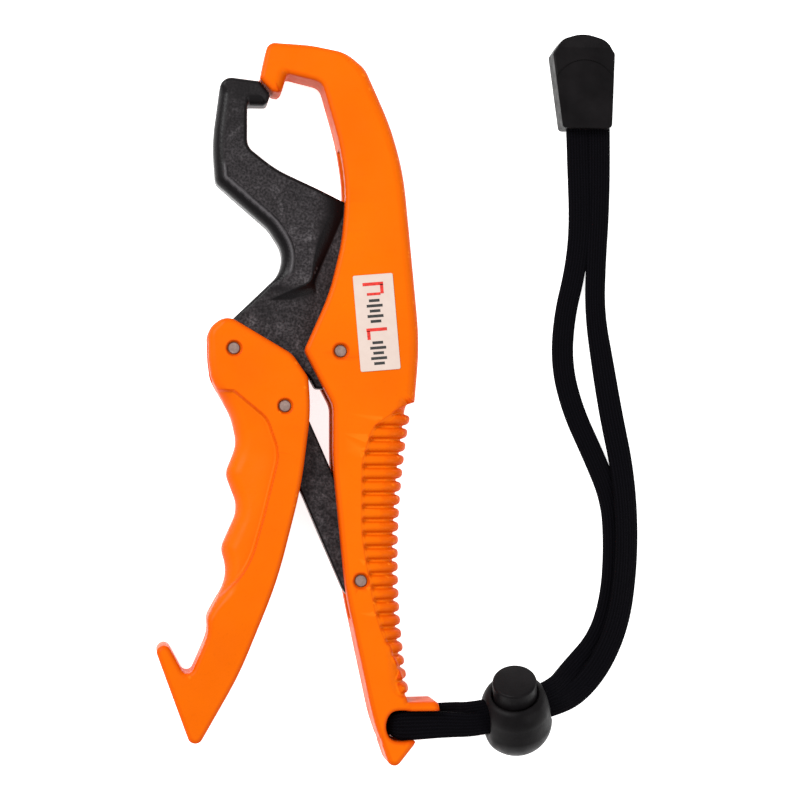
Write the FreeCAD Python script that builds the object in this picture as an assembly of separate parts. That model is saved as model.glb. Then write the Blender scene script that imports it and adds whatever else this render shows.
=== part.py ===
import FreeCAD, Part
import math
import os

# Lip grip: a squeeze-to-open fish gripper with a wrist lanyard.
# It lies on its back: +Z is up through its thickness, +Y runs towards the jaws and
# +X towards the lanyard. Z = 0 is the back face. Millimetres.

Vec = FreeCAD.Vector
UP = Vec(0, 0, 1)

# ---- driving dimensions -------------------------------------------------------
THICK = 22.0                  # main body and lever, back face to front face
MID = THICK / 2
ARM_THIN = 3.4                # how far each face of the fixed jaw has tapered at its tip
TAPER_START_Y = 48.0
TIP_Y = 122.0

SLOT = 8.6                    # width of the slots that the jaw and the link run in
JAW_THICK = 14.0
TONGUE = 8.0                  # jaw where it runs inside the slots
LINK_THICK = 7.4

PIN_D = 4.0
PIN_RECESS = 0.5              # pin ends sit below the faces
COUNTERSINK_D = 4.9
RUNNING_FIT = 0.05            # radial, pin in a moving part
LOOSE_FIT = 0.8               # radial, at the pivot that takes up the linkage's play

JAW_PIVOT = Vec(13.6, 17.2, 0)
LEVER_PIVOT = Vec(-22.2, 18.0, 0)
LINK_LEVER = Vec(-5.1, -1.3, 0)
LINK_BODY = Vec(20.5, -59.9, 0)

BODY_EDGE_R = 1.1             # moulded edges
JAW_EDGE_R = 1.5
LEVER_EDGE_R = 1.6
SCOOP_DEPTH = 1.4             # finger scoop below the lever's faces
LEVER_EYE_R = 6.0             # link's round ends
BODY_EYE_R = 6.4
PIN_CHAMFER = 0.3
RING_DEPTH = 1.0              # wider ring at each end of a pin's bore

RIB_COUNT = 21
RIB_TOP_Y = -5.8
RIB_PITCH = 4.5
RIB_WIDTH = 3.7
RIB_PROUD = 1.5
RIB_CORNER_R = 6.0            # where a rib turns from a face to the side
RIB_EDGE_R = 1.55
POCKET_DEPTH = 1.9            # floor of the ribbed panel below the faces

LABEL_SIZE = (13.5, 32.4, 0.2)
LABEL_CENTRE = Vec(25.65, 26.9, THICK)
LABEL_TILT = 4.9

CORD_D = 5.0                  # round cord with the section of the flat 9 x 2.6 braid
HEEL_WEB = 6.0                # heel where the cord loops through it
HEEL_HOLE_X = (30.2, 37.4)

LOCK_CENTRE = Vec(73.9, -105.1, 14.7)
LOCK_R = 12.4
LOCK_DOMES = (-3.4, 2.6)      # centres of the round bottom and shoulder, on the axis
LOCK_TILT = 48.0              # its axis leans this far from upright, towards +Y
LOCK_LEAN = -7.5              # and this far sideways
LOCK_YAW = 12.0               # its cord hole turns this far about that axis
LOCK_RIM = 9.9                # flat rim above the centre
PLUNGER_R = 7.5
PLUNGER_TOP = 16.2            # above the centre, at rest
PLUNGER_TRAVEL = 2.0
PLUNGER_BASE = -5.7
CORD_SEATS = (-1.2, 4.3)      # where the two strands cross the lock's axis
LOCK_MOUTH = 13.0             # where they enter and leave it, from its axis
LOCK_SLOT_WIDTH = CORD_D + 3.2
PLUNGER_SLOT_WIDTH = CORD_D + 1.6
PLUNGER_GAP = 0.35            # radial, plunger in the barrel
STRAND_ROOM = 0.9             # above and below the strands in the lock
SPRING_SEAT_Z = -9.9          # floor of the spring's pocket, below the lock's centre
SPRING_R = 3.9
SPRING_WIRE_D = 0.7
SPRING_TURNS = 3.5
SPRING_RUNS_A_TURN = 12

CAP_THICK = 10.6
CAP_MOUTH_Y = 95.6
CAP_SPLIT_Z = 5.3
CAP_BORE_DEPTH = 9.0
CAP_BORES_X = (97.0, 104.4)
CAP_EDGE_R = 0.7
CAP_SLOPE_Y = 123.5           # its front face falls away beyond this line
CAP_SLOPE_DROP = 4.5          # over the next 8.5
CAP_SHOULDER = Vec(99.3, 107.9, 0)
CAP_SHOULDER_R = 11.4         # round line where the front half begins
CAP_STEP = 0.4                # front half's face below the base's


# ---- outlines: corners as (x, y, radius), counter-clockwise or clockwise --------
BODY_CORNERS = [
    (-10.9, 121.75, 3), (3.6, 121.0, 40), (16.2, 118.6, 14), (22.4, 113.4, 8), (30.9, 93.7, 80),
    (35.2, 78, 90), (40.6, 20, 100), (38.9, 0.2, 0), (36.0, -1.0, 0), (33.0, -24, 120),
    (31.6, -50, 150), (32.6, -74, 120), (36.3, -100.6, 0), (46.4, -100.3, 1.8), (47.5, -103.6, 1.2),
    (31.0, -124.3, 2.4), (24.6, -106, 60), (15.6, -64, 100), (11.2, -20, 100), (11.2, -1.2, 8),
    (1.5, 17.5, 2.5), (10.2, 37, 70), (14.2, 54, 60), (15.9, 72, 70), (13, 89, 70),
    (7.5, 108.3, 4), (-4.3, 111.1, 1.3), (-6.3, 104.4, 1.5), (-9.0, 104.8, 1.2), (-13.5, 109.3, 0.9),
]
SLOT_CORNERS = [
    (-30, 86, 0), (18, 86, 5), (25.5, 72, 10), (27.3, 20, 80), (26.5, -20, 60), (27.8, -60, 20),
    (24.5, -73, 4), (-30, -73, 0),
]
PANEL_CORNERS = [
    (60, -0.6, 0), (34.6, -0.9, 3), (24.0, -8.0, 9), (20.4, -20, 20), (20.3, -45, 60),
    (25.5, -74, 60), (36.6, -98.2, 0), (60, -98.2, 0),
]
JAW_CORNERS = [
    (-26.5, 110.2, 4), (-13.5, 108.7, 1.2), (-9.9, 104.2, 1.6), (-11.0, 100.6, 2.2), (-17.7, 100.6, 0.8),
    (-17.7, 86.4, 5), (-8.2, 78.9, 40), (22.5, 65, 3), (25.6, 18, 30), (24.5, 4.7, 9),
    (5.6, 4.7, 1.2), (2.2, 10.9, 6), (-14, 9.6, 20), (-42, 9.5, 8.5), (-7.0, 43.0, 10.5),
    (-5.2, 50.5, 10), (-10.5, 58.8, 12), (-28.4, 74.2, 4), (-29.4, 88, 60),
]
LEVER_CORNERS = [
    (-24.7, 29.3, 5.5), (-31.0, 24.5, 6), (-30.6, 14, 20), (-29.8, 8, 10), (-22.8, -5, 22),
    (-20.9, -14, 10), (-24.8, -24, 6), (-20.3, -35.5, 10), (-26.3, -49, 6), (-23.5, -58, 14),
    (-31, -72, 5), (-30.3, -77, 12), (-37.2, -93.2, 2.2), (-44.7, -79.2, 2.3), (-47.9, -82.8, 2),
    (-35.2, -117.2, 2.6), (-20.2, -91, 120), (-7.5, -60, 150), (0.5, -28, 150), (3.6, -3, 60),
    (2.8, 8.4, 5), (-2.6, 16.2, 8),
]
SCOOP_CORNERS = [
    (-60, 5.5, 0), (-22, 4.4, 2), (-10.6, -5.0, 9), (-6.4, -17, 14), (-11.5, -38, 60),
    (-16.5, -56, 30), (-26.5, -66, 8), (-60, -68, 0),
]
LEVER_SLOT_CORNERS = [
    (-60, 7.2, 0), (-13.8, 7.2, 2), (-12.8, -6, 20), (-9.4, -32, 60), (-8.2, -52, 4),
    (40, -54, 0), (40, 60, 0), (-60, 60, 0),
]
JAW_FULL_CORNERS = [
    (-60, 44, 0), (-26, 32.2, 6), (1.5, 22.6, 5), (5.5, 40, 30), (10.2, 74, 8), (4, 130, 0), (-60, 130, 0),
]
HEEL_POCKET_CORNERS = [
    (60, -103.6, 0), (29.0, -103.6, 4.9), (29.0, -113.6, 4.9), (60, -113.6, 0),
]
CAP_CORNERS = [
    (91.5, 95.6, 1.2), (108.8, 95.6, 1.5), (109.9, 121.5, 1), (107.0, 126.5, 6), (99.3, 129.1, 11),
    (91.6, 126.6, 6), (88.1, 121.4, 1),
]

# ---- lanyard: from the cap down one strand, round the heel and back up the other ----
CORD_ROUTE = [
    (97.0, 104.6, 5.3), (97.1, 86, 4.9), (96.6, 63, 2.5), (94.0, 39, 2.5), (92.4, 17, 2.5),
    (95.9, -3, 2.5), (104.0, -21, 2.5), (109.4, -42, 2.5), (108.3, -66, 2.5), (105.6, -81.2, 2.5),
    (97.4, -92, 6.0), "lock upper right", "lock upper left", (51.5, -106.1, 5.0),
    (33.0, -107.6, 4.9), (33.0, -108.4, 17.1), (48.0, -109.1, 16.8), "lock lower left",
    "lock lower right", (98.0, -99.3, 4.5), (107.2, -89.3, 2.5), (113.0, -75, 2.5), (114.6, -56, 2.5),
    (114.9, -38, 2.5), (112.6, -18, 2.5), (108.6, 1, 2.5), (105.3, 21, 2.5), (104.0, 42, 2.5),
    (104.6, 65, 2.5), (104.5, 87, 4.9), (104.4, 104.6, 5.3),
]


# ---- helpers --------------------------------------------------------------------
def corner_arc(before, corner, after, radius):
    """Tangent points and middle of the arc that rounds one corner."""
    to_before = (before - corner).normalize()
    to_after = (after - corner).normalize()
    half = to_before.getAngle(to_after) / 2
    reach = radius / math.tan(half)
    middle_way = (to_before + to_after).normalize()
    centre = corner + middle_way * (radius / math.sin(half))
    return corner + to_before * reach, centre - middle_way * radius, corner + to_after * reach


def path_edges(points, radii, closed):
    """Straight runs joined by tangent arcs, one radius for each inner corner."""
    count = len(points)
    bends = []
    for i, point in enumerate(points):
        open_end = not closed and i in (0, count - 1)
        if open_end or radii[i] == 0:
            bends.append((point, None, point))
        else:
            bends.append(corner_arc(points[i - 1], point, points[(i + 1) % count], radii[i]))
    edges = []
    for i, (start, middle, end) in enumerate(bends):
        if middle is not None:
            edges.append(Part.Arc(start, middle, end).toShape())
        if i + 1 < count or closed:
            next_start = bends[(i + 1) % count][0]
            if end.distanceToPoint(next_start) > 1e-3:
                edges.append(Part.LineSegment(end, next_start).toShape())
    return edges


def outline(corners):
    points = [Vec(x, y, 0) for x, y, _ in corners]
    return Part.Wire(path_edges(points, [r for _, _, r in corners], True))


def plate(corners, bottom, top):
    """Flat solid of an outline between two heights."""
    face = Part.Face(outline(corners))
    face.translate(UP * bottom)
    return face.extrude(UP * (top - bottom))


def disc(centre, radius, bottom, top):
    return Part.makeCylinder(radius, top - bottom, Vec(centre.x, centre.y, bottom), UP)


def lock_rotation():
    """From the lock's own frame, axis +Z and cord along X, to how it lies."""
    tilt = FreeCAD.Rotation(Vec(1, 0, 0), -LOCK_TILT)
    sideways = FreeCAD.Rotation(Vec(0, 1, 0), LOCK_LEAN)
    return tilt.multiply(sideways).multiply(FreeCAD.Rotation(UP, LOCK_YAW))


def placed_in_lock(shape):
    shape.Placement = FreeCAD.Placement(LOCK_CENTRE, lock_rotation())
    return shape


def lock_point(along_cord, along_axis):
    return LOCK_CENTRE + lock_rotation().multVec(Vec(along_cord, 0, along_axis))


def rims(shape):
    """Edges round the flat faces of a plate, without the runs straight along X."""
    found = []
    for edge in shape.Edges:
        box = edge.BoundBox
        upright = box.XLength < 1e-4 and box.YLength < 1e-4
        across = box.YLength < 1e-4
        if not upright and not across:
            found.append(edge)
    return found


def both_faces(corners, depth):
    """Prisms that take a depth off the back face and off the front face."""
    return [plate(corners, -1, depth), plate(corners, THICK - depth, THICK + 1)]


def mid_slot(corners):
    return plate(corners, MID - SLOT / 2, MID + SLOT / 2)


# ---- pins -----------------------------------------------------------------------
def pin(centre):
    body = disc(centre, PIN_D / 2, PIN_RECESS, THICK - PIN_RECESS)
    return body.makeChamfer(PIN_CHAMFER, [body.Edges[0], body.Edges[2]])


def pin_hole(centre):
    """Press-fit bore for a pin, with a shallow wider ring at each face."""
    hole = disc(centre, PIN_D / 2, -1, THICK + 1)
    back = disc(centre, COUNTERSINK_D / 2, -1, RING_DEPTH)
    front = disc(centre, COUNTERSINK_D / 2, THICK - RING_DEPTH, THICK + 1)
    return hole.fuse([back, front])


# ---- main body --------------------------------------------------------------------
def tapered_stock():
    """Side profile of the body: parallel faces that close in along the fixed jaw."""
    far_y = TIP_Y + 8
    points = [
        (-140, 0), (TAPER_START_Y, 0), (far_y, ARM_THIN), (far_y, THICK - ARM_THIN),
        (TAPER_START_Y, THICK), (-140, THICK), (-140, 0),
    ]
    profile = Part.makePolygon([Vec(-70, y, z) for y, z in points])
    return Part.Face(profile).extrude(Vec(140, 0, 0))


def rib_end_x(y):
    """The ribs' outer ends follow a shallow hollow down the grip."""
    return 33.6 + 0.0018 * (y + 52.5) ** 2


def rib(y):
    """One rib, a round-edged slab that wraps the outer side from face to face."""
    end_x = rib_end_x(y)
    low = POCKET_DEPTH - RIB_PROUD
    high = THICK - low
    corners = [(14, low, 0), (end_x, low, RIB_CORNER_R), (end_x, high, RIB_CORNER_R), (14, high, 0)]
    wire = outline(corners)
    wire.rotate(Vec(0, 0, 0), Vec(1, 0, 0), 90)
    wire.translate(Vec(0, y + RIB_WIDTH / 2, 0))
    slab = Part.Face(wire).extrude(Vec(0, -RIB_WIDTH, 0))
    edges = [e for e in slab.Edges if e.BoundBox.YLength < 1e-4 and e.BoundBox.XMax > 14.1]
    return slab.makeFillet(RIB_EDGE_R, edges)


def main_body():
    body = plate(BODY_CORNERS, 0, THICK).common(tapered_stock())
    body = body.makeFillet(BODY_EDGE_R, rims(body))
    body = body.cut(both_faces(PANEL_CORNERS, POCKET_DEPTH))
    panel = plate(PANEL_CORNERS, 0, THICK)
    ribs = [rib(RIB_TOP_Y - i * RIB_PITCH).common(panel) for i in range(RIB_COUNT)]
    body = body.fuse(ribs)
    hollows = [mid_slot(SLOT_CORNERS)]
    hollows += both_faces(HEEL_POCKET_CORNERS, (THICK - HEEL_WEB) / 2)
    hollows.append(heel_hole())
    hollows += [pin_hole(JAW_PIVOT), pin_hole(LINK_BODY)]
    return body.cut(hollows)


def heel_hole():
    left, right = HEEL_HOLE_X
    corners = [(left, -103.9, 2.4), (right, -103.9, 2.4), (right, -113.1, 2.4), (left, -113.1, 2.4)]
    return plate(corners, -1, THICK + 1)


# ---- jaw, lever and link ------------------------------------------------------------
def swing_jaw():
    tongue = plate(JAW_CORNERS, MID - TONGUE / 2, MID + TONGUE / 2)
    full = plate(JAW_CORNERS, MID - JAW_THICK / 2, MID + JAW_THICK / 2)
    full = full.makeFillet(JAW_EDGE_R, rims(full))
    full = full.common(plate(JAW_FULL_CORNERS, 0, THICK))
    jaw = full.fuse(tongue)
    holes = [disc(p, PIN_D / 2 + RUNNING_FIT, 0, THICK) for p in (JAW_PIVOT, LEVER_PIVOT)]
    return jaw.cut(holes)


def squeeze_lever():
    lever = plate(LEVER_CORNERS, 0, THICK)
    lever = lever.makeFillet(LEVER_EDGE_R, rims(lever))
    hollows = both_faces(SCOOP_CORNERS, SCOOP_DEPTH)
    hollows.append(mid_slot(LEVER_SLOT_CORNERS))
    hollows += [pin_hole(LEVER_PIVOT), pin_hole(LINK_LEVER)]
    return lever.cut(hollows)


def toggle_link():
    """Flat bar with a round eye at each end."""
    bottom = MID - LINK_THICK / 2
    top = MID + LINK_THICK / 2
    ends = (
        (LINK_LEVER, LEVER_EYE_R, PIN_D / 2 + LOOSE_FIT),
        (LINK_BODY, BODY_EYE_R, PIN_D / 2 + RUNNING_FIT),
    )
    along = (LINK_BODY - LINK_LEVER).normalize()
    side = Vec(-along.y, along.x, 0)
    near, far = side * LEVER_EYE_R, side * BODY_EYE_R
    edge = [LINK_LEVER + near, LINK_LEVER - near, LINK_BODY - far, LINK_BODY + far]
    web = Part.Face(Part.makePolygon(edge + edge[:1]))
    web.translate(UP * bottom)
    bar = web.extrude(UP * (top - bottom))
    bar = bar.fuse([disc(centre, radius, bottom, top) for centre, radius, _ in ends])
    bar = bar.removeSplitter()
    return bar.cut([disc(centre, hole, bottom - 1, top + 1) for centre, _, hole in ends])


# ---- label --------------------------------------------------------------------------
def label():
    width, height, thick = LABEL_SIZE
    w, h = width / 2, height / 2
    sheet = plate([(-w, -h, 0.6), (w, -h, 0.6), (w, h, 0.6), (-w, h, 0.6)], 0, thick)
    sheet.rotate(Vec(0, 0, 0), UP, LABEL_TILT)
    sheet.translate(LABEL_CENTRE)
    return sheet


# ---- lanyard ------------------------------------------------------------------------
def route_points():
    named = {
        "lock upper right": lock_point(LOCK_MOUTH, CORD_SEATS[1]),
        "lock upper left": lock_point(-LOCK_MOUTH, CORD_SEATS[1]),
        "lock lower left": lock_point(-LOCK_MOUTH, CORD_SEATS[0]),
        "lock lower right": lock_point(LOCK_MOUTH, CORD_SEATS[0]),
    }
    return [named[p] if isinstance(p, str) else Vec(*p) for p in CORD_ROUTE]


def bend_radii(points):
    """As large as the two runs beside each bend allow."""
    radii = [0]
    for before, corner, after in zip(points, points[1:], points[2:]):
        turn = (corner - before).getAngle(after - corner)
        shorter = min((corner - before).Length, (after - corner).Length)
        radii.append(0.45 * shorter / math.tan(turn / 2))
    return radii + [0]


def lanyard_cord():
    points = route_points()
    radii = bend_radii(points)
    wire = Part.Wire(path_edges(points, radii, False))
    ring = Part.Circle(points[0], points[1] - points[0], CORD_D / 2).toShape()
    tube = wire.makePipeShell([Part.Wire(ring)], True, False)
    section = math.pi * CORD_D ** 2 / 4
    print("cord bend radii", [round(r, 1) for r in radii[1:-1]])
    print("cord length", round(wire.Length, 1), "volume over section x length",
          round(tube.Volume / (section * wire.Length), 4))
    return tube


def cord_slot(width, low, high, length):
    """Slot along X for two strands, one above the other, in the lock's own frame."""
    w = width / 2
    corners = [(-w, low, w - 0.01), (w, low, w - 0.01), (w, high, w - 0.01), (-w, high, w - 0.01)]
    wire = outline(corners)
    wire.rotate(Vec(0, 0, 0), Vec(1, 1, 1), 120)
    wire.translate(Vec(-length / 2, 0, 0))
    return Part.Face(wire).extrude(Vec(length, 0, 0))


def strand_span():
    """Lowest and highest points on the lock's axis that the two strands need."""
    return CORD_SEATS[0] - CORD_D / 2 - STRAND_ROOM, CORD_SEATS[1] + CORD_D / 2 + STRAND_ROOM


def cord_lock_barrel():
    low, high = strand_span()
    bottom, shoulder = LOCK_DOMES
    waist = Part.makeCylinder(LOCK_R, shoulder - bottom, Vec(0, 0, bottom), UP)
    domes = [Part.makeSphere(LOCK_R, Vec(0, 0, z)) for z in LOCK_DOMES]
    above = Part.makeCylinder(LOCK_R, LOCK_R, Vec(0, 0, LOCK_RIM), UP)
    well_floor = PLUNGER_BASE - PLUNGER_TRAVEL - 0.2
    cavity = Part.makeCylinder(PLUNGER_R + PLUNGER_GAP, 30, Vec(0, 0, well_floor), UP)
    spring_seat = Part.makeCylinder(5.0, 10, Vec(0, 0, SPRING_SEAT_Z), UP)
    slot = cord_slot(LOCK_SLOT_WIDTH, low, high, 40)
    return placed_in_lock(waist.fuse(domes).cut([above, cavity, spring_seat, slot]))


def cord_lock_plunger():
    low, high = strand_span()
    height = PLUNGER_TOP - PLUNGER_BASE
    body = Part.makeCylinder(PLUNGER_R, height, Vec(0, 0, PLUNGER_BASE), UP)
    body = body.makeFillet(0.7, [body.Edges[0]])
    body = body.cut(cord_slot(PLUNGER_SLOT_WIDTH, low, high + PLUNGER_TRAVEL, 40))
    return placed_in_lock(body)


def cord_lock_spring():
    """Coil of short runs joined by tangent arcs, which stays a plain round wire."""
    wire_r = SPRING_WIRE_D / 2
    bottom = SPRING_SEAT_Z + wire_r
    height = PLUNGER_BASE - wire_r - bottom
    steps = round(SPRING_TURNS * SPRING_RUNS_A_TURN)
    points = []
    for i in range(steps + 1):
        angle = 2 * math.pi * i / SPRING_RUNS_A_TURN
        rise = bottom + height * i / steps
        points.append(Vec(SPRING_R * math.cos(angle), SPRING_R * math.sin(angle), rise))
    wire = Part.Wire(path_edges(points, bend_radii(points), False))
    ring = Part.Circle(points[0], points[1] - points[0], wire_r).toShape()
    return placed_in_lock(wire.makePipeShell([Part.Wire(ring)], True, False))


def cap_shell():
    """The cord end as one block with its nose sloped off, before it splits in two."""
    block = plate(CAP_CORNERS, 0, CAP_THICK)
    block = block.makeFillet(CAP_EDGE_R, rims(block))
    far_y, over = CAP_SLOPE_Y + 8.5, CAP_THICK + 1
    slope_end = CAP_THICK - CAP_SLOPE_DROP
    slope = [(CAP_SLOPE_Y, CAP_THICK), (far_y, slope_end), (far_y, over), (CAP_SLOPE_Y, over)]
    wedge = Part.makePolygon([Vec(80, y, z) for y, z in slope + slope[:1]])
    return block.cut(Part.Face(wedge).extrude(Vec(40, 0, 0)))


def cap_bores():
    start_y = CAP_MOUTH_Y - 5
    length = CAP_BORE_DEPTH + 5
    return [Part.makeCylinder(CORD_D / 2, length, Vec(x, start_y, CAP_SPLIT_Z), Vec(0, 1, 0))
            for x in CAP_BORES_X]


def lid_zone():
    """Front half below a rounded shoulder line."""
    below = Part.makeBox(40, 20, 10, Vec(80, CAP_SHOULDER.y - 20, CAP_SPLIT_Z))
    return disc(CAP_SHOULDER, CAP_SHOULDER_R, CAP_SPLIT_Z, CAP_SPLIT_Z + 10).fuse(below)


def cord_end_base():
    return cap_shell().cut([lid_zone()] + cap_bores())


def cord_end_lid():
    step = Part.makeBox(60, 60, 2, Vec(70, 80, CAP_THICK - CAP_STEP))
    return cap_shell().common(lid_zone()).cut([step] + cap_bores())


def main():
    os.makedirs("parts", exist_ok=True)
    nodes = {
        "main_body": main_body(),
        "swing_jaw": swing_jaw(),
        "squeeze_lever": squeeze_lever(),
        "toggle_link": toggle_link(),
        "jaw_pivot_pin": pin(JAW_PIVOT),
        "lever_pivot_pin": pin(LEVER_PIVOT),
        "link_lever_pin": pin(LINK_LEVER),
        "link_body_pin": pin(LINK_BODY),
        "label": label(),
        "lanyard_cord": lanyard_cord(),
        "cord_lock_barrel": cord_lock_barrel(),
        "cord_lock_plunger": cord_lock_plunger(),
        "cord_lock_spring": cord_lock_spring(),
        "cord_end_base": cord_end_base(),
        "cord_end_lid": cord_end_lid(),
    }
    for name, shape in nodes.items():
        print(name, "valid", shape.isValid(), "solids", len(shape.Solids), "volume", round(shape.Volume, 1))
        shape.exportStep("parts/" + name + ".step")


main()
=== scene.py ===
import math

import bpy
import numpy as np
import openvdb
from mathutils import Matrix, Vector


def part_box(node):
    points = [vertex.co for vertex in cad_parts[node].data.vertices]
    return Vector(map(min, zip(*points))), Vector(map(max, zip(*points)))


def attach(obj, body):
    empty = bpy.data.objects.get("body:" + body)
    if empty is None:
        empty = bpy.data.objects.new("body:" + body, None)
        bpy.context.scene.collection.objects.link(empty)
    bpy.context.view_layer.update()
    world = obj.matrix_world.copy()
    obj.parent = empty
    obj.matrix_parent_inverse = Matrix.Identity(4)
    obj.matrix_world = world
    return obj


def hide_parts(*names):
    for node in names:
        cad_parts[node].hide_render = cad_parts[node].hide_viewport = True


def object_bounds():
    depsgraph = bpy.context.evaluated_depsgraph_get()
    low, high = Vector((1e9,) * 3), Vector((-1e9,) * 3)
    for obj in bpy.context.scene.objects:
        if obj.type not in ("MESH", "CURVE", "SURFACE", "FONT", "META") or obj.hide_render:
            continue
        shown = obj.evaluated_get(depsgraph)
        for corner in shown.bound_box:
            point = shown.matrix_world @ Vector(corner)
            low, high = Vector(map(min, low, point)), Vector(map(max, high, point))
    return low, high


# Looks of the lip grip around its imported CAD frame. Shapes are worked out in millimetres,
# as distance fields over the CAD nodes' own outlines, and turned into meshes in metres.

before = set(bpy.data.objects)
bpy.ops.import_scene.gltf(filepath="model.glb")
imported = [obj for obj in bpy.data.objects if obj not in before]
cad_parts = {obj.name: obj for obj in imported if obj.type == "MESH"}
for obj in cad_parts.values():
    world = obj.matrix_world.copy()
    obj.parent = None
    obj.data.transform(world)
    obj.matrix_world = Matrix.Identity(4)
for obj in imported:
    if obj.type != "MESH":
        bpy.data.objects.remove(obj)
CAD_BOX = [list(corner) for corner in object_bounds()]
MM = 0.001

MID = 11.0                     # middle plane, half the moulding's thickness up
SLOT_HALF = 4.3                # half height of the slots for the jaw and the link
PIN_R = 2.0
RING_R = 2.45                  # shallow ring round each pin's end
RING_DEPTH = 1.0
BORE_R, JAW_BORE_R = 2.06, 2.08     # visual bores, clear of the pin

CHEEK_Z = 5.0                  # a height that cuts a body's cheeks, clear of slots and panels
BODY_FACE_Z, LEVER_FACE_Z = 0.3, 0.7     # heights just inside each one's lower face
CHEEK_INSET = 0.04             # keeps the body's faces inside the CAD ones
EDGE_R, GRIP_EDGE_R = 1.5, 5.2
TAPER_Y, TAPER_SLOPE, TAPER_SOFT = 50, 3.4 / 82, 6     # the body thins towards its top end
SLOT_RIGHT_X, SLOT_LOW_Y, SLOT_HIGH_Y = 29.5, -75, 88
LEVER_SLOT_X, LEVER_SLOT_TOP_Y, LEVER_SLOT_LOW_Y = -16, 6, -56
WAIST_X, WAIST_Y = 32.0, -52.5
GRIP_TOP_Y, GRIP_END_Y = -0.9, -98.3
HEEL_Y = -85
PANEL_TOP_Y, PANEL_DEPTH = 2, 1.9
RIB_COUNT, RIB_TOP_Y, RIB_PITCH, RIB_WIDTH, RIB_PROUD = 21, -5.8, 4.5, 3.5, 1.6
RIB_LEFT_X = 16
HEEL_HOLE = (29.5, -113.5), (38.2, -103.5)
POCKET_X, POCKET_LOW_Y, POCKET_HIGH_Y = 27.5, -114.2, -102.9
HEEL_WEB_HALF = 3.0

APEX_Y = 40.6                  # where the jaw's shoulder reaches furthest left
TONGUE_HALF, JAW_RISE = 4, 3   # half thickness of the jaw's tongue, and what its outer part adds
BEAD_IN, BEAD_WIDE, BEAD_HIGH = 3.6, 0.6, 0.42
GATE_MARK, GATE_MARK_R = (-3.8, 67.4), 3.6
LINK_HALF = 3.7

LOCK_R = 12.35
LOCK_DOME_LOW, LOCK_DOME_RISE = -3.4, 6.0
LOCK_RIM_Z, LOCK_FLAT_X = 9.9, 11.0
WELL_R, WELL_Z = 7.9, -7.95
SPRING_SEAT_R, SPRING_SEAT_Z = 5.0, -9.95
PLUNGER_R, PLUNGER_TOP, PLUNGER_BASE = 7.45, 16.2, -5.7
STRAP_HOLE_LOW, STRAP_HOLE_HIGH, STRAP_HOLE_R = -4.7, 7.8, 4.2

LOCK_CENTRE = Vector((73.9, -105.1, 14.7))
LOCK_TURN = (Matrix.Rotation(math.radians(-48), 3, "X") @ Matrix.Rotation(math.radians(-7.5), 3, "Y")
             @ Matrix.Rotation(math.radians(12), 3, "Z"))

STRAP_WIDTH = 8.3
STRAP_THICK = 2.5
WEAVE_PITCH, PICK_PITCH = 1.05, 0.9

LABEL_TURN = 4.9               # degrees
INK_SUNK, INK_HIGH = 0.01, 0.04

CAMERA_AT = (-0.053878, -0.0260865, 0.811)
CAMERA_AIM = (0.034782, 0.0011935, 0.011)
CAMERA_LENS = 106.28


# ---- distances --------------------------------------------------------------------
def node_triangles(node):
    """Corners of a CAD node's triangles in mm."""
    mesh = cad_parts[node].data
    co = np.zeros(len(mesh.vertices) * 3)
    mesh.vertices.foreach_get("co", co)
    mesh.calc_loop_triangles()
    index = np.zeros(len(mesh.loop_triangles) * 3, np.int32)
    mesh.loop_triangles.foreach_get("vertices", index)
    return (co.reshape(-1, 3) / MM)[index.reshape(-1, 3)]


def section(node, height):
    """Line segments where a CAD node crosses a height."""
    tri = node_triangles(node)
    above = tri[:, :, 2] > height
    cut = tri[above.any(1) & ~above.all(1)]
    above = cut[:, :, 2] > height
    ends = []
    for i, j in ((0, 1), (1, 2), (2, 0)):
        a, b = cut[:, i], cut[:, j]
        with np.errstate(divide="ignore", invalid="ignore"):
            t = (height - a[:, 2]) / (b[:, 2] - a[:, 2])
        point = a[:, :2] + (b - a)[:, :2] * t[:, None]
        point[above[:, i] == above[:, j]] = np.nan
        ends.append(point)
    ends = np.stack(ends, 1)
    crossed = ~np.isnan(ends[:, :, 0])
    return ends[crossed].reshape(-1, 2, 2)


def without(segments, centres, radius):
    """Drops the round holes at the centres, and closes an outline that one of them cuts."""
    for centre in centres:
        apart = abs(np.hypot(*(segments - centre).transpose(2, 0, 1)) - radius)
        ring = (apart < 0.06).all(1)
        segments, apart = segments[~ring], apart[~ring]
        loose = segments[apart < 0.06]
        if len(loose) == 2:
            segments = np.concatenate([segments, loose[None]])
    return segments


def boxed(segments, low, high):
    middle = segments.mean(1)
    return ((middle > low) & (middle < high)).all(1)


def far_from(x, y, segments):
    """Distance from each point of a plan grid to the nearest segment."""
    best = np.full(x.shape, 1e9)
    for a, b in segments:
        run = b - a
        size = run @ run
        if size < 1e-12:
            continue
        t = np.clip(((x - a[0]) * run[0] + (y - a[1]) * run[1]) / size, 0, 1)
        gap = (x - a[0] - t * run[0]) ** 2 + (y - a[1] - t * run[1]) ** 2
        np.minimum(best, gap, out=best)
    return np.sqrt(best)


def within(x, y, segments):
    """True where a point is inside the segments' loops."""
    odd = np.zeros(x.shape, bool)
    for a, b in segments:
        if a[1] == b[1]:
            continue
        low, high = (a, b) if a[1] < b[1] else (b, a)
        rows = (y >= low[1]) & (y < high[1])
        cross = low[0] + (y - low[1]) * (high[0] - low[0]) / (high[1] - low[1])
        odd ^= rows & (x < cross)
    return odd


def signed(x, y, segments):
    gap = far_from(x, y, segments)
    return np.where(within(x, y, segments), -gap, gap)


def smooth(t):
    t = np.clip(t, 0, 1)
    return t * t * (3 - 2 * t)


def meet(a, b, soft):
    """Common part of two solids, with its crease rounded."""
    h = np.clip(0.5 - 0.5 * (b - a) / soft, 0, 1)
    return b * (1 - h) + a * h + soft * h * (1 - h)


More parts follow.
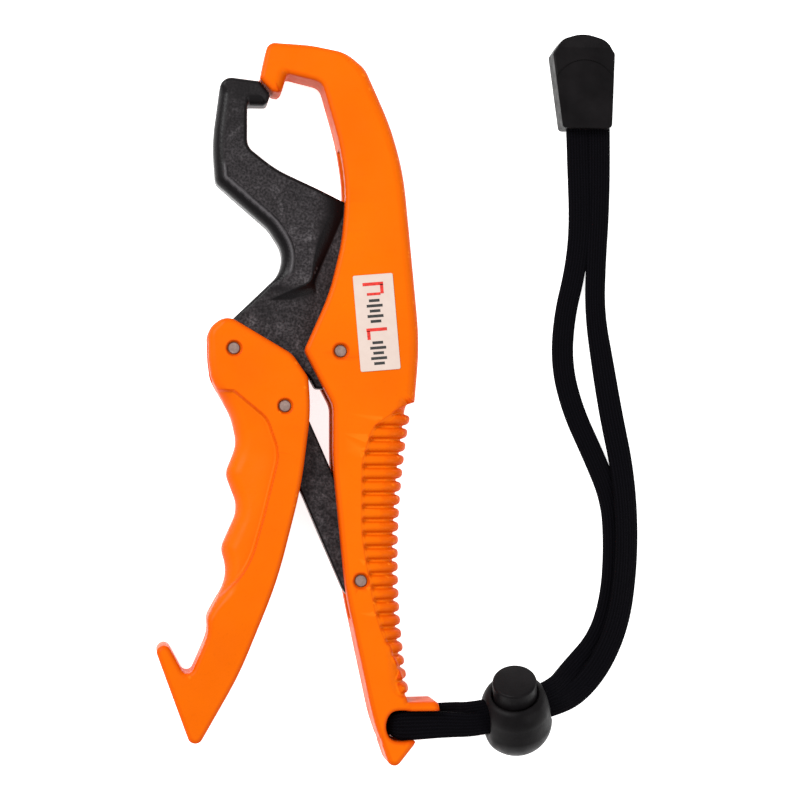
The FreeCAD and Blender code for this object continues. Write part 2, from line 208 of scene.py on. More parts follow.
def join(a, b, soft):
    return -meet(-a, -b, soft)


def less(a, b, soft):
    return meet(a, -b, soft)


def rounded(a, b, radius):
    """Common part of two solids with a round edge of that radius."""
    a, b = a + radius, b + radius
    outside = np.hypot(np.maximum(a, 0), np.maximum(b, 0))
    return np.minimum(np.maximum(a, b), 0) + outside - radius


class Grid:
    """A box of points over which a distance field is worked out: plan fields are (x, y, 1)."""

    def __init__(self, low, high, step):
        axes = [np.arange(a - 2 * step, b + 3 * step, step) for a, b in zip(low, high)]
        self.low = np.array([axis[0] for axis in axes])
        self.step = step
        self.x, self.y = (part[:, :, None] for part in np.meshgrid(axes[0], axes[1], indexing="ij"))
        self.z = axes[2][None, None, :]

    def away(self, centre):
        return np.hypot(self.x - centre[0], self.y - centre[1])

    def outward(self, plan):
        gx, gy = np.gradient(plan[:, :, 0], self.step)
        size = np.hypot(gx, gy) + 1e-6
        return (gx / size)[:, :, None], (gy / size)[:, :, None]


def node_grid(node, step):
    low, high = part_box(node)
    return Grid([v / MM for v in low], [v / MM for v in high], step)


def field_mesh(name, grid, field, triangles):
    """Mesh of a field's zero surface, in mm, thinned to about that many triangles."""
    volume = openvdb.FloatGrid(3.0)
    volume.copyFromArray(np.ascontiguousarray(field, np.float32))
    points, _, quads = volume.convertToPolygons(isovalue=0.0, adaptivity=0.0)
    points = points * grid.step + grid.low
    mesh = bpy.data.meshes.new(name)
    mesh.from_pydata(points.tolist(), [], quads[:, ::-1].tolist())
    obj = bpy.data.objects.new(name, mesh)
    bpy.context.scene.collection.objects.link(obj)
    if 2 * len(quads) > triangles:
        thin = obj.modifiers.new("thin", "DECIMATE")
        thin.ratio = triangles / (2 * len(quads))
        bpy.context.view_layer.update()
        done = bpy.data.meshes.new_from_object(obj.evaluated_get(bpy.context.evaluated_depsgraph_get()))
        obj.modifiers.clear()
        obj.data = done
        bpy.data.meshes.remove(mesh)
    obj.data.name = name
    return obj


def tint(obj, name, grid, plan):
    """Keeps a plan field's value at each point of a mesh still in mm."""
    co = np.zeros(len(obj.data.vertices) * 3)
    obj.data.vertices.foreach_get("co", co)
    at = np.round((co.reshape(-1, 3)[:, :2] - grid.low[:2]) / grid.step).astype(int)
    value = plan[at[:, 0], at[:, 1], 0]
    obj.data.attributes.new(name, "FLOAT", "POINT").data.foreach_set("value", value.astype(np.float32))


def place(obj, matrix=Matrix.Identity(3), origin=(0, 0, 0)):
    """Takes a mesh made in mm to its place in metres."""
    move = Matrix.Translation(Vector(origin)) @ matrix.to_4x4()
    obj.data.transform(Matrix.Scale(MM, 4) @ move)
    obj.data.shade_smooth()
    return obj


def dress(obj, body, slot, material, *nodes):
    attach(obj, body)
    if nodes:
        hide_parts(*nodes)
    obj.data.materials.clear()
    obj.data.materials.append(material)
    return obj


def pin_centre(pin):
    low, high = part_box(pin)
    return np.array([(low.x + high.x) / 2, (low.y + high.y) / 2]) / MM


JAW_PIVOT, LEVER_PIVOT, LINK_LEVER, LINK_BODY = (
    pin_centre(pin) for pin in ("jaw_pivot_pin", "lever_pivot_pin", "link_lever_pin", "link_body_pin"))


def drill(grid, field, centre):
    """A pin's bore and the shallow ring round its end at each face."""
    away = grid.away(centre)
    height = abs(grid.z - MID)
    field = less(field, np.maximum(away - RING_R, MID - RING_DEPTH - height), 0.25)
    return np.maximum(field, BORE_R - away)


# ---- mouldings ----------------------------------------------------------------------
def valley(y):
    """X of the hollow in the grip's right side."""
    return WAIST_X + 0.0018 * (y - WAIST_Y) ** 2


def body_plan(g, cheek, core):
    """Outline of the body: the cheeks' down to the heel, the middle plane's below, less the grip's hollow."""
    plan = np.where(g.y < HEEL_Y, core, cheek)
    notch = np.maximum(valley(g.y) - g.x, np.maximum(g.y - GRIP_TOP_Y, GRIP_END_Y - g.y))
    return meet(plan, -notch, 1.2)


def body_edge(g, plan):
    """Radius of the body's long edges, largest on the right of the grip."""
    right, _ = g.outward(plan)
    radius = EDGE_R + 2.1 * smooth((right - 0.15) / 0.7)
    grip = smooth((-1.0 - g.y) / 4) * smooth((g.y + 98.5) / 3)
    radius = radius + (GRIP_EDGE_R - radius) * grip * smooth((right - 0.1) / 0.5)
    return radius - (radius - EDGE_R) * smooth((-97.5 - g.y) / 1.5)


def grip_ribs(g, base, panel):
    """The row of round ribs that stand out of the grip, inside the panel and round its right side."""
    step = np.clip(np.round((RIB_TOP_Y - g.y) / RIB_PITCH), 0, RIB_COUNT - 1)
    across = abs(g.y - (RIB_TOP_Y - step * RIB_PITCH)) - RIB_WIDTH / 2
    ribs = rounded(base - RIB_PROUD, across, 1.5)
    left_end = RIB_LEFT_X + 0.28 * np.maximum(-50 - g.y, 0) - g.x
    reach = 0.35 - panel - 2.5 * smooth((-90 - g.y) / 4)
    ribs = np.maximum(meet(ribs, reach, 0.9), np.maximum(left_end, g.x - valley(g.y) - 2.2))
    return np.maximum(ribs, abs(g.z - MID) - MID + 0.2)


def body_shell():
    node, pins = "main_body", (JAW_PIVOT, LINK_BODY)
    g = node_grid(node, 0.36)
    height = abs(g.z - MID)
    d_cheek = signed(g.x, g.y, without(section(node, CHEEK_Z), pins, PIN_R))
    core = section(node, MID)
    hole = boxed(core, *HEEL_HOLE)
    d_core = signed(g.x, g.y, core[~hole])
    plan = body_plan(g, d_cheek, d_core)
    face = without(section(node, BODY_FACE_Z), pins, RING_R)
    panel = np.where(g.y < PANEL_TOP_Y, signed(g.x, g.y, face), -5)
    floor = PANEL_DEPTH * smooth((panel - 0.2) / 1.3)
    taper = TAPER_SLOPE * np.logaddexp(0, (g.y - TAPER_Y) / TAPER_SOFT) * TAPER_SOFT
    half = MID - CHEEK_INSET - taper - floor
    base = rounded(plan, height - half, body_edge(g, plan))
    field = join(base, grip_ribs(g, base, panel), 0.6)
    slot = np.maximum(-d_core, height - SLOT_HALF)
    ends = np.maximum(g.y - SLOT_HIGH_Y, SLOT_LOW_Y - g.y)
    slot = np.maximum(slot, np.maximum(g.x - SLOT_RIGHT_X, ends))
    field = less(field, slot, 0.4)
    pocket = np.maximum(POCKET_X - g.x, np.maximum(g.y - POCKET_HIGH_Y, POCKET_LOW_Y - g.y))
    pocket = np.maximum(-d_cheek, pocket)
    field = less(field, np.maximum(pocket, HEEL_WEB_HALF - height), 0.9)
    field = less(field, signed(g.x, g.y, core[hole]), 1.6)
    for centre in pins:
        field = drill(g, field, centre)
    return place(field_mesh("body_shell", g, field, 180000))


def lever_shell():
    node, pins = "squeeze_lever", (LEVER_PIVOT, LINK_LEVER)
    g = node_grid(node, 0.36)
    height = abs(g.z - MID)
    plan = signed(g.x, g.y, without(section(node, CHEEK_Z), pins, PIN_R))
    core = signed(g.x, g.y, section(node, MID))
    face = signed(g.x, g.y, without(section(node, LEVER_FACE_Z), pins, RING_R))
    right, _ = g.outward(plan)
    fingers = smooth((6 - g.y) / 6) * smooth((g.y + 70) / 8)
    radius = 1.7 + (1.0 + 2.6 * fingers) * smooth((-right - 0.1) / 0.6)
    radius = radius - (radius - 1.5) * smooth((-70 - g.y) / 6)
    scoop = face - 0.35
    depth = 1.4 * smooth(scoop / 0.9) + 1.6 * smooth(scoop / 13)
    field = rounded(plan, height - MID + depth, radius)
    slot = np.maximum(-core, height - SLOT_HALF)
    reach = np.minimum(LEVER_SLOT_X - g.x, LEVER_SLOT_TOP_Y - g.y)
    slot = np.maximum(slot, np.maximum(reach, LEVER_SLOT_LOW_Y - g.y))
    field = less(field, slot, 0.4)
    for centre in pins:
        field = drill(g, field, centre)
    return place(field_mesh("lever_shell", g, field, 150000))


def jaw_shoulder(y):
    """X where the jaw's shoulder meets its tongue, and X where its full thickness begins."""
    above = np.logaddexp(0, (y - APEX_Y) / 0.8) * 0.8
    below = np.logaddexp(0, (APEX_Y - y) / 0.8) * 0.8
    foot = np.minimum(5.1 + 0.432 * above, 15.0) + np.minimum(0.3 * below, 0.9)
    return foot, foot - 1.2 - np.minimum(0.497 * above, 11.4) - np.minimum(2.5 * below, 15)


def jaw_rise(g):
    """0 on the jaw's tongue and at the lever's cheeks, 1 where the jaw has its full thickness."""
    foot, brow = jaw_shoulder(g.y)
    rise = np.clip((foot - g.x) / (foot - brow), 0, 1)
    clear = 0.33 * (g.x + 26) + 0.944 * (g.y - 32.2)
    return rise * np.clip(clear / 16, 0, 1)


def jaw_shell():
    node, pins = "swing_jaw", (JAW_PIVOT, LEVER_PIVOT)
    g = node_grid(node, 0.34)
    plan = signed(g.x, g.y, without(section(node, MID), pins, PIN_R + 0.05))
    rise = jaw_rise(g)
    soft = smooth((43 - g.y) / 6)
    slope = (1 - soft) * (1 - (1 - rise) ** 2) + soft * rise
    right, up = g.outward(plan)
    heel = smooth((-0.7 * right - 0.6 * up + 0.1) / 0.7) * smooth((108 - g.y) / 4)
    radius = np.minimum(1.4 + 2.6 * heel, 1.0 + 3.0 * rise)
    mark = np.exp(-((g.away(GATE_MARK) - GATE_MARK_R) / 0.4) ** 2)
    heel_line = heel * smooth((82 - g.y) / 4) * smooth((g.y - 42) / 3)
    bead = heel_line * np.exp(-((plan + BEAD_IN) / BEAD_WIDE) ** 2)
    half = TONGUE_HALF + JAW_RISE * slope - 0.15 * mark + BEAD_HIGH * (bead - 1) * rise
    field = rounded(plan, abs(g.z - MID) - half, radius)
    for centre in pins:
        field = np.maximum(field, JAW_BORE_R - g.away(centre))
    obj = field_mesh("jaw_shell", g, field, 110000)
    # The bead line is kept on the mesh for the painted highlight along it.
    tint(obj, "ridge_highlight", g, bead * rise)
    return place(obj)


def link_shell():
    node = "toggle_link"
    g = node_grid(node, 0.3)
    plan = signed(g.x, g.y, section(node, MID))
    field = rounded(plan, abs(g.z - MID) - LINK_HALF, 0.7)
    return place(field_mesh("link_shell", g, field, 40000))


def strap_hole(g):
    """The hole for both strands, along X in the lock's own frame."""
    middle = np.clip(g.z, STRAP_HOLE_LOW + STRAP_HOLE_R, STRAP_HOLE_HIGH - STRAP_HOLE_R)
    return np.hypot(g.y, g.z - middle) - STRAP_HOLE_R + 0 * g.x


def barrel_shell():
    """Egg-shaped body of the lock, flat on its left, with a stepped well for plunger and spring."""
    g = Grid((-12.4, -12.4, -15.9), (12.4, 12.4, 10.0), 0.27)
    flat = np.hypot(g.x, g.y)
    up = np.clip((g.z - LOCK_DOME_LOW) / LOCK_DOME_RISE, 0, 1)
    egg = np.hypot(flat, g.z - (LOCK_DOME_RISE * up + LOCK_DOME_LOW)) - LOCK_R + 0.5 * up
    field = meet(meet(egg, g.z - LOCK_RIM_Z, 1.6), -g.x - LOCK_FLAT_X, 1.2)
    seat = np.maximum(flat - SPRING_SEAT_R, SPRING_SEAT_Z - g.z)
    well = np.minimum(np.maximum(flat - WELL_R, WELL_Z - g.z), seat)
    field = less(field, well, 0.7)
    field = less(field, strap_hole(g), 1.1)
    return place(field_mesh("lock_barrel_shell", g, field, 60000), LOCK_TURN, LOCK_CENTRE)


def plunger_shell():
    g = Grid((-7.5, -7.5, -5.7), (7.5, 7.5, 16.3), 0.24)
    flat = np.hypot(g.x, g.y)
    crown = PLUNGER_TOP - 0.3 * (flat / 7.5) ** 2
    field = rounded(flat - PLUNGER_R, np.maximum(g.z - crown, PLUNGER_BASE - g.z), 0.7)
    field = less(field, strap_hole(g), 0.5)
    return place(field_mesh("lock_plunger_shell", g, field, 50000), LOCK_TURN, LOCK_CENTRE)


# ---- cord -----------------------------------------------------------------------------
def in_lock(along, side, up):
    return LOCK_CENTRE + LOCK_TURN @ Vector((along, side, up))


LOCK_AXIS = LOCK_TURN @ Vector((0, 0, 1))
LOCK_SIDE = LOCK_TURN @ Vector((0, 1, 0))
Z = Vector((0, 0, 1))


def lean(degrees):
    """Flat side of a strap that lies along Y, leaning to the left by an angle."""
    turn = math.radians(degrees)
    return Vector((-math.sin(turn), 0, math.cos(turn)))


# In the lock's mouths the two strands overlap like shingles.
SHINGLE = 1.3 * Z + 0.2 * LOCK_AXIS - 0.5 * LOCK_SIDE

# point, the way the flat side faces, width
ROUTE = [
    ((97.3, 104.6, 5.3), Z, 8.0), ((97.8, 86, 4.7), Z, 8.0), ((99.0, 63, 2.2), Z, 7.7),
    ((97.3, 47, 1.8), Z, 7.5), ((93.3, 31, 1.8), Z, 7.5), ((92.2, 14, 1.8), Z, 7.5),
    ((96.2, -2, 1.8), Z, 7.6), ((103.2, -17, 1.7), Z, 7.6), ((109.9, -33, 1.7), Z, 7.6),
    ((110.8, -50, 1.7), Z, 7.7), ((109.6, -67, 1.9), Z, 7.8), ((105.0, -81.2, 2.8), Z, 8.0),
    ((94.6, -91.6, 5.6), Z, 7.8), (in_lock(13, 1.0, 3.9), SHINGLE, 7.2),
    (in_lock(-13, 1.0, 3.9), SHINGLE, 7.2), ((50.5, -106.0, 6.2), Z, 8.2),
    ((32.0, -108.3, 4.9), Vector((0.9, 0, 1)), 8.6), ((30.9, -108.5, 11.0), Vector((1, 0, 0)), 8.6),
    ((30.6, -108.6, 16.2), Vector((1, 0, 0)), 5.2),
    ((33.4, -108.8, 18.2), Vector((0.5, 0, -1)), 9.4), ((38.0, -108.8, 17.6), -Z, 9.8),
    ((49.0, -108.5, 16.9), -Z, 8.9), (in_lock(-13, -1.0, -0.4), -SHINGLE, 7.6),
    (in_lock(13, -1.0, -0.2), -SHINGLE, 7.6), ((96.0, -99.4, 8.6), -Z, 8.2),
    ((105.2, -89.6, 5.4), -lean(-10), 8.3), ((111.9, -75, 4.0), -lean(-17), 8.3),
    ((114.5, -57, 3.6), -lean(-19), 8.3), ((114.9, -40, 3.5), -lean(-18), 8.3),
    ((113.4, -22, 2.8), -lean(-8), 8.2), ((109.8, -4, 1.8), -Z, 8.2), ((106.8, 14, 1.8), -Z, 7.9),
    ((104.0, 32, 1.8), -Z, 6.9), ((104.5, 50, 1.9), -Z, 7.0), ((105.4, 67, 2.3), -Z, 7.5),
    ((105.2, 87, 4.7), -Z, 7.8), ((104.9, 104.6, 5.3), -Z, 7.8),
]


def spline_points(controls, name):
    """Points along the smooth line that has those control points, in mm."""
    data = bpy.data.curves.new(name, "CURVE")
    data.dimensions = "3D"
    data.resolution_u = 16
    line = data.splines.new("NURBS")
    line.points.add(len(controls) - 1)
    for knot, point in zip(line.points, controls):
        knot.co = (*point, 1)
    line.order_u = 3
    line.use_endpoint_u = True
    holder = bpy.data.objects.new(name, data)
    bpy.context.scene.collection.objects.link(holder)
    mesh = bpy.data.meshes.new_from_object(holder)
    points = np.array([v.co for v in mesh.vertices])
    bpy.data.objects.remove(holder)
    bpy.data.meshes.remove(mesh)
    return points


def strap_profile(count=44):
    """Unit cross-section of the braid: flat sides with five soft ribs, round edges."""
    points = []
    for i in range(count):
        angle = 2 * math.pi * i / count
        c, s = math.cos(angle), math.sin(angle)
        across = math.copysign(abs(c) ** 0.72, c)
        thick = math.copysign(abs(s) ** 0.55, s)
        thick *= 1 - 0.09 * (0.5 + 0.5 * math.cos(across * 5 * math.pi)) * (1 - across ** 4)
        points.append((across, thick))
    return np.array(points)


def strap():
    """The flat braid along its route, and the points of its middle line in metres."""
    centre = spline_points([p for p, _, _ in ROUTE], "strap_line")
    rail = spline_points([Vector(p) + n.normalized() * 5 for p, n, _ in ROUTE], "strap_rail")
    width = spline_points([(w, 0, 0) for _, _, w in ROUTE], "strap_width")[:, 0]
    tangent = np.gradient(centre, axis=0)
    tangent /= np.linalg.norm(tangent, axis=1)[:, None]
    face = rail - centre
    face -= (face * tangent).sum(1)[:, None] * tangent
    face /= np.linalg.norm(face, axis=1)[:, None]
    side = np.cross(tangent, face)
    along = np.r_[0, np.cumsum(np.linalg.norm(np.diff(centre, axis=0), axis=1))]
    profile = strap_profile()
    ring = len(profile)
    squeeze = STRAP_WIDTH / width
    across = side[:, None] * (profile[None, :, :1] * width[:, None, None] / 2)
    thick = face[:, None] * (profile[None, :, 1:] * (squeeze * STRAP_THICK / 2)[:, None, None])
    points = centre[:, None] + across + thick
    count = len(centre)
    faces = []
    for i in range(count - 1):
        for j in range(ring):
            k = (j + 1) % ring
            faces.append((i * ring + j, i * ring + k, (i + 1) * ring + k, (i + 1) * ring + j))
    faces.append(tuple(range(ring))[::-1])
    faces.append(tuple((count - 1) * ring + j for j in range(ring)))
    mesh = bpy.data.meshes.new("lanyard_strap")
    mesh.from_pydata(points.reshape(-1, 3).tolist(), [], faces)
    weave = mesh.attributes.new("weave", "FLOAT_VECTOR", "POINT")
    place_on = np.zeros((count, ring, 3))
    place_on[:, :, 0] = along[:, None]
    place_on[:, :, 1] = profile[None, :, 0] * STRAP_WIDTH / 2
    place_on[:, :, 2] = profile[None, :, 1]
    weave.data.foreach_set("vector", place_on.reshape(-1))
    obj = bpy.data.objects.new("lanyard_strap", mesh)
    bpy.context.scene.collection.objects.link(obj)
    return place(obj), centre * MM


# ---- label marks ------------------------------------------------------------------------
def label_bars(name, bars):
    """Thin printed bars on the label: each is (x, y, width, height) from its centre, in mm."""
    low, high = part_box("label")
    centre = (low + high) / 2 / MM
    turn = Matrix.Rotation(math.radians(LABEL_TURN), 3, "Z")
    points, faces = [], []
    for x, y, w, h in bars:
        start = len(points)
        for z in (0, INK_HIGH):
            for i, j in ((-1, -1), (1, -1), (1, 1), (-1, 1)):
                flat = turn @ Vector((x + i * w / 2, y + j * h / 2, 0))
                points.append((centre.x + flat.x, centre.y + flat.y, high.z / MM - INK_SUNK + z))
        faces += [tuple(start + k for k in q) for q in
                  ((3, 2, 1, 0), (4, 5, 6, 7), (0, 1, 5, 4), (1, 2, 6, 5), (2, 3, 7, 6), (3, 0, 4, 7))]
    mesh = bpy.data.meshes.new(name)
    mesh.from_pydata(points, [], faces)
    obj = bpy.data.objects.new(name, mesh)
    bpy.context.scene.collection.objects.link(obj)
    obj.data.transform(Matrix.Scale(MM, 4))
    return obj


def label_marks():
    """Plain bars in place of the printed words."""
    red = [(-0.2, 13.0, 7.0, 1.1), (2.7, 11.2, 1.1, 3.2), (-0.2, 9.6, 4.6, 0.9),
           (-0.2, -2.4, 7.0, 1.1), (-3.0, -4.2, 1.1, 3.0)]
    ticks = [(-0.2, top - 1.75 * i, 5.4 if i % 2 else 3.6, 0.95) for top in (7.4, -6.8) for i in range(5)]
    red_marks = label_bars("label_marks_red", red)
    dress(red_marks, "main_body", "label_vinyl", ink("red_ink", (0.62, 0.02, 0.01)))
    black_marks = label_bars("label_marks_black", ticks)
    dress(black_marks, "main_body", "label_vinyl", ink("black_ink", (0.02, 0.02, 0.02)))


# ---- materials ----------------------------------------------------------------------------
class Shader:
    """A Principled material with helpers for its procedural parts."""

    def __init__(self, name, colour, roughness, **sockets):
        self.material = bpy.data.materials.new(name)
        self.material.use_nodes = True
        self.nodes = self.material.node_tree.nodes
        self.links = self.material.node_tree.links
        self.out = self.nodes["Principled BSDF"]
        self.out.inputs["Base Color"].default_value = (*colour, 1)
        self.out.inputs["Roughness"].default_value = roughness
        for socket, value in sockets.items():
            self.out.inputs[socket.replace("_", " ")].default_value = value
        coords = self.nodes.new("ShaderNodeTexCoord")
        self.coords = coords.outputs["Object"]

    def noise(self, per_metre, detail=4, rough=0.55, distort=0.0):
        node = self.nodes.new("ShaderNodeTexNoise")
        node.inputs["Scale"].default_value = per_metre
        node.inputs["Detail"].default_value = detail
        node.inputs["Roughness"].default_value = rough
        node.inputs["Distortion"].default_value = distort
        self.links.new(self.coords, node.inputs["Vector"])
        return node.outputs["Fac"]

    def ramp(self, source, stops):
        node = self.nodes.new("ShaderNodeValToRGB")
        ramp = node.color_ramp
        ramp.elements[0].position, ramp.elements[1].position = stops[0][0], stops[-1][0]
        for position, _ in stops[1:-1]:
            ramp.elements.new(position)
        for element, (_, colour) in zip(ramp.elements, stops):
            element.color = (*colour, 1) if len(colour) == 3 else (*(colour * 3), 1)
        self.links.new(source, node.inputs["Fac"])
        return node.outputs["Color"]

    def math(self, kind, a, b):
        node = self.nodes.new("ShaderNodeMath")
        node.operation = kind
        for socket, value in zip(node.inputs, (a, b)):
            if isinstance(value, (int, float)):
                socket.default_value = value
            else:
                self.links.new(value, socket)
        return node.outputs["Value"]

    def mix(self, amount, a, b, kind="MIX"):
        node = self.nodes.new("ShaderNodeMix")
        node.data_type = "RGBA"
        node.blend_type = kind
        for socket, value in ((node.inputs[0], amount), (node.inputs[6], a), (node.inputs[7], b)):
            if isinstance(value, (int, float)):
                socket.default_value = value
            elif isinstance(value, tuple):
                socket.default_value = (*value, 1)
            else:
                self.links.new(value, socket)
        return node.outputs[2]

    def bump(self, height, distance, strength, after=None):
        node = self.nodes.new("ShaderNodeBump")
        node.inputs["Strength"].default_value = strength
        node.inputs["Distance"].default_value = distance
        self.links.new(height, node.inputs["Height"])
        if after:
            self.links.new(after, node.inputs["Normal"])
        return node.outputs["Normal"]

    def edges(self, low, high):
        """0 on flats and 1 on outer edges, or 1 in creases when high is under 0.5."""
        geometry = self.nodes.new("ShaderNodeNewGeometry")
        stops = sorted(((low, (0.0,)), (high, (1.0,))))
        return self.ramp(geometry.outputs["Pointiness"], stops)

    def lying_flat(self, low, high):
        """0 on sides and slopes, 1 on faces square to Z."""
        geometry = self.nodes.new("ShaderNodeNewGeometry")
        split = self.nodes.new("ShaderNodeSeparateXYZ")
        self.links.new(geometry.outputs["Normal"], split.inputs["Vector"])
        return self.ramp(self.math("ABSOLUTE", split.outputs["Z"], 0), ((low, (0.0,)), (high, (1.0,))))

    def along_y(self, low, high):
        """0 below one distance along Y, rising to 0.8 at the other, in metres."""
        split = self.nodes.new("ShaderNodeSeparateXYZ")
        self.links.new(self.coords, split.inputs["Vector"])
        span = self.math("DIVIDE", self.math("SUBTRACT", split.outputs["Y"], low), high - low)
        return self.ramp(span, ((0.0, (0.0,)), (1.0, (0.8,))))

    def set(self, socket, source):
        self.links.new(source, self.out.inputs[socket])


def orange_plastic():
    s = Shader("orange_plastic_look", (0.62, 0.105, 0.0003), 0.38, Specular_IOR_Level=0.04)
    cloud = s.noise(22, 3)
    base = s.ramp(cloud, ((0.3, (0.59, 0.094, 0.0003)), (0.7, (0.65, 0.116, 0.0004))))
    fleck = s.ramp(s.noise(900, 2), ((0.25, (0.86, 0.86, 0.86)), (0.42, (1.0, 1.0, 1.0))))
    base = s.mix(0.35, base, fleck, "MULTIPLY")
    # Painted shade: sides and slopes take a darker, redder orange than faces lying flat.
    base = s.mix(s.lying_flat(0.25, 0.93), (0.58, 0.066, 0.0003), base)
    # Painted shade: creases, such as those between the ribs, take a darker orange.
    base = s.mix(s.edges(0.497, 0.46), base, (0.50, 0.045, 0.0003))
    # Painted highlight: convex edges take a lighter orange.
    wear_and_highlight = s.edges(0.512, 0.56)
    s.set("Base Color", s.mix(s.math("MULTIPLY", wear_and_highlight, 0.4), base, (0.70, 0.17, 0.008)))
    s.set("Roughness", s.ramp(s.noise(160, 4), ((0.3, (0.30,)), (0.7, (0.46,)))))
    skin = s.bump(s.noise(1500, 3), 0.00006, 0.5)
    s.set("Normal", s.bump(s.noise(120, 3), 0.0004, 0.35, skin))
    return s.material


def black_nylon():
    s = Shader("black_nylon_look", (0.02, 0.018, 0.019), 0.4, Specular_IOR_Level=0.09)
    flat = s.lying_flat(0.962, 0.996)
    swirl = s.noise(75, 6, 0.7, 2.2)
    grain = s.noise(1250, 3, 0.6)
    face = s.ramp(swirl, ((0.34, (0.012, 0.0105, 0.0112)), (0.54, (0.022, 0.0195, 0.0208)),
                          (0.76, (0.060, 0.055, 0.058))))
    # Painted shade: sides and slopes are near black, while flat faces keep the lighter swirl.
    base = s.mix(flat, (0.0042, 0.0036, 0.0040), face)
    speck = s.ramp(grain, ((0.40, (0.5, 0.5, 0.5)), (0.64, (2.1, 2.1, 2.1))))
    base = s.mix(s.math("MULTIPLY", flat, 0.85), base, speck, "MULTIPLY")
    base = s.mix(s.along_y(0.078, 0.104), base, (0.0065, 0.0056, 0.0061))
    # Painted highlight: the bead line along the jaw's heel, kept in a point attribute, and the convex edges
    # take a lighter grey.
    wear_and_highlight = s.nodes.new("ShaderNodeAttribute")
    wear_and_highlight.attribute_name = "ridge_highlight"
    wear_and_highlight = s.math("MAXIMUM", s.math("MULTIPLY", s.edges(0.508, 0.55), 0.4), wear_and_highlight.outputs["Fac"])
    s.set("Base Color", s.mix(s.math("MULTIPLY", wear_and_highlight, 0.8), base, (0.080, 0.075, 0.079)))
    s.set("Roughness", s.ramp(flat, ((0.0, (0.32,)), (1.0, (0.52,)))))
    skin = s.bump(grain, 0.00014, 0.7)
    s.set("Normal", s.bump(s.noise(160, 3), 0.0003, 0.25, skin))
    return s.material


def pin_steel():
    s = Shader("pin_steel_look", (0.25, 0.17, 0.15), 0.45, Metallic=0.85)
    dull, bright = (0.19, 0.128, 0.113), (0.33, 0.235, 0.205)
    s.set("Base Color", s.ramp(s.noise(500, 5, 0.7), ((0.3, dull), (0.7, bright))))
    s.set("Roughness", s.ramp(s.noise(1400, 3), ((0.3, (0.38,)), (0.7, (0.62,)))))
    s.set("Normal", s.bump(s.noise(2200, 3), 0.00008, 0.6))
    return s.material


def lock_plastic():
    s = Shader("lock_plastic_look", (0.004, 0.0034, 0.0038), 0.4, Specular_IOR_Level=0.06)
    dark, wear_and_highlight = (0.0026, 0.0022, 0.0025), (0.0062, 0.0053, 0.0058)
    s.set("Base Color", s.ramp(s.noise(90, 4), ((0.3, dark), (0.7, wear_and_highlight))))
    s.set("Roughness", s.ramp(s.noise(300, 4), ((0.3, (0.34,)), (0.7, (0.52,)))))
    s.set("Normal", s.bump(s.noise(1800, 3), 0.00008, 0.6))
    return s.material


def label_vinyl():
    s = Shader("label_vinyl_look", (0.52, 0.42, 0.37), 0.45, Specular_IOR_Level=0.15)
    s.set("Base Color", s.ramp(s.noise(250, 4), ((0.3, (0.51, 0.41, 0.36)), (0.7, (0.54, 0.44, 0.39)))))
    s.set("Roughness", s.ramp(s.noise(500, 2), ((0.3, (0.38,)), (0.7, (0.55,)))))
    s.set("Normal", s.bump(s.noise(700, 3), 0.00005, 0.4))
    return s.material


def ink(name, colour):
    s = Shader(name, colour, 0.4)
    darker = tuple(0.6 * c for c in colour)
    s.set("Base Color", s.ramp(s.noise(1200, 3), ((0.35, darker), (0.6, colour))))
    return s.material


def spring_steel():
    s = Shader("spring_steel_look", (0.5, 0.5, 0.5), 0.3, Metallic=1.0)
    s.set("Base Color", s.ramp(s.noise(800, 3), ((0.3, (0.42, 0.42, 0.42)), (0.7, (0.6, 0.6, 0.6)))))
    return s.material


def cord_braid():
    s = Shader("cord_braid_look", (0.0016, 0.0014, 0.0022), 0.8, Specular_IOR_Level=0.03)
    place_on = s.nodes.new("ShaderNodeAttribute")
    place_on.attribute_name = "weave"
    split = s.nodes.new("ShaderNodeSeparateXYZ")
    s.links.new(place_on.outputs["Vector"], split.inputs["Vector"])
    along, across = split.outputs["X"], split.outputs["Y"]
    ribs = s.math("SINE", s.math("MULTIPLY", across, 2 * math.pi / WEAVE_PITCH), 0)
    half_rib = s.math("SINE", s.math("MULTIPLY", across, math.pi / WEAVE_PITCH), 0)
    lean_in = s.math("MULTIPLY", s.math("ABSOLUTE", half_rib, 0), 0.9)
    picks = s.math("SINE", s.math("MULTIPLY", s.math("ADD", along, lean_in), 2 * math.pi / PICK_PITCH), 0)
    cloth = s.math("ADD", s.math("MULTIPLY", ribs, 0.45), s.math("MULTIPLY", picks, 0.4))
    fuzz = s.noise(2600, 3, 0.7)
    height = s.math("ADD", cloth, s.math("MULTIPLY", fuzz, 0.8))
    s.set("Base Color", s.ramp(s.math("MULTIPLY_ADD", height, 0.3), (
        (0.0, (0.0006, 0.0005, 0.0009)), (0.6, (0.0016, 0.0014, 0.0022)), (1.0, (0.006, 0.0055, 0.008)))))
    s.set("Normal", s.bump(height, 0.00022, 0.9))
    return s.material


# ---- stage ----------------------------------------------------------------------------------
def floor():
    mesh = bpy.data.meshes.new("floor")
    z = CAD_BOX[0][2] - 0.0002
    mesh.from_pydata([(-3, -3, z), (3, -3, z), (3, 3, z), (-3, 3, z)], [], [(0, 1, 2, 3)])
    obj = bpy.data.objects.new("floor", mesh)
    bpy.context.scene.collection.objects.link(obj)
    s = Shader("floor_look", (0.93, 0.93, 0.93), 0.8, Specular_IOR_Level=0.1)
    s.set("Base Color", s.ramp(s.noise(3, 2), ((0.3, (0.925, 0.925, 0.925)), (0.7, (0.935, 0.935, 0.935)))))
    s.out.inputs["Emission Color"].default_value = (1, 1, 1, 1)
    s.out.inputs["Emission Strength"].default_value = 0.8
    mesh.materials.append(s.material)


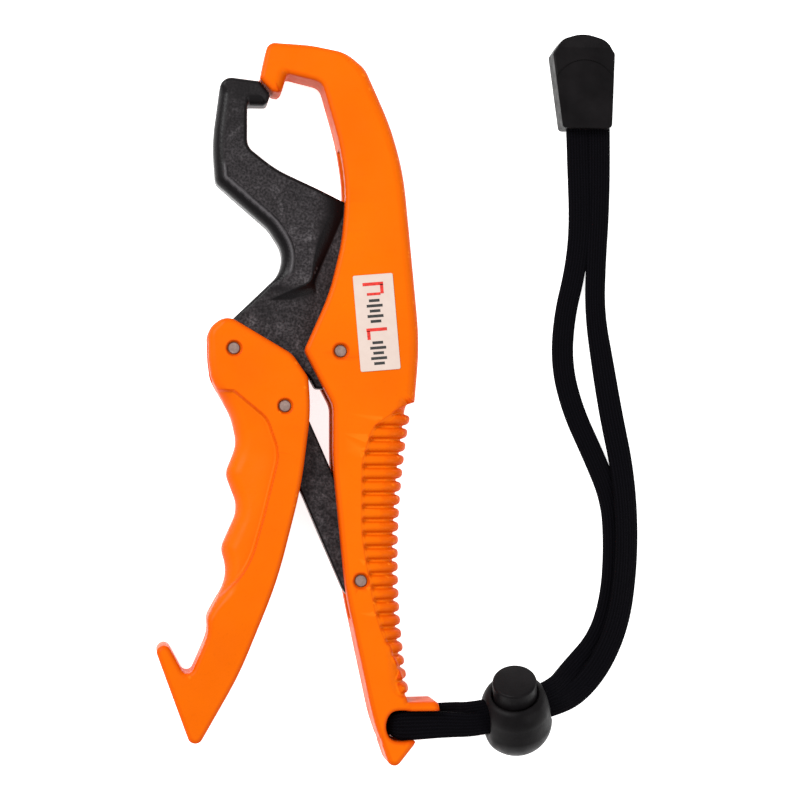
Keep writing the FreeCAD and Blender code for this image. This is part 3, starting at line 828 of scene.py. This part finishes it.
def area_light(name, where, aim, size, watts):
    data = bpy.data.lights.new(name, "AREA")
    data.shape = "SQUARE"
    data.size = size
    data.energy = watts
    obj = bpy.data.objects.new(name, data)
    obj.location = where
    obj.rotation_euler = (Vector(aim) - Vector(where)).to_track_quat("-Z", "Y").to_euler()
    bpy.context.scene.collection.objects.link(obj)


def studio():
    world = bpy.data.worlds.new("studio")
    world.use_nodes = True
    world.node_tree.nodes["Background"].inputs["Color"].default_value = (1, 1, 1, 1)
    world.node_tree.nodes["Background"].inputs["Strength"].default_value = 0.75
    bpy.context.scene.world = world
    area_light("key", (-0.75, 0.6, 1.0), (0.03, 0, 0), 0.6, 21)
    area_light("fill", (0.9, -0.5, 0.9), (0.03, 0, 0), 0.8, 6)
    bpy.context.scene.view_settings.view_transform = "Standard"


def camera():
    data = bpy.data.cameras.new("camera")
    data.lens = CAMERA_LENS
    data.sensor_width = 36
    data.clip_start, data.clip_end = 0.01, 20
    obj = bpy.data.objects.new("camera", data)
    eye = Vector(CAMERA_AT)
    ahead = (Vector(CAMERA_AIM) - eye).normalized()
    right = ahead.cross(Vector((0, 1, 0))).normalized()
    up = right.cross(ahead)
    obj.matrix_world = Matrix.Translation(eye) @ Matrix((right, up, -ahead)).transposed().to_4x4()
    bpy.context.scene.collection.objects.link(obj)
    bpy.context.scene.camera = obj


# ---- scene ------------------------------------------------------------------------------------
def main():
    studio()
    camera()
    floor()
    orange, nylon, steel = orange_plastic(), black_nylon(), pin_steel()
    black, vinyl, braid = lock_plastic(), label_vinyl(), cord_braid()
    dress(body_shell(), "main_body", "orange_plastic", orange, "main_body")
    dress(lever_shell(), "squeeze_lever", "orange_plastic", orange, "squeeze_lever")
    dress(jaw_shell(), "swing_jaw", "black_nylon", nylon, "swing_jaw")
    dress(link_shell(), "toggle_link", "black_nylon", nylon, "toggle_link")
    dress(barrel_shell(), "main_body", "lock_plastic", black, "cord_lock_barrel")
    dress(plunger_shell(), "cord_lock_plunger", "lock_plastic", black, "cord_lock_plunger")
    cord, line = strap()
    dress(cord, "main_body", "cord_braid", braid, "lanyard_cord")
    label_marks()
    for name in ("jaw_pivot_pin", "lever_pivot_pin", "link_lever_pin", "link_body_pin"):
        dress_node(name, steel)
    dress_node("label", vinyl)
    dress_node("cord_end_base", black)
    dress_node("cord_end_lid", black)
    dress_node("cord_lock_spring", spring_steel())


def dress_node(name, material):
    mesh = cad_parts[name].data
    mesh.materials.clear()
    mesh.materials.append(material)


main()
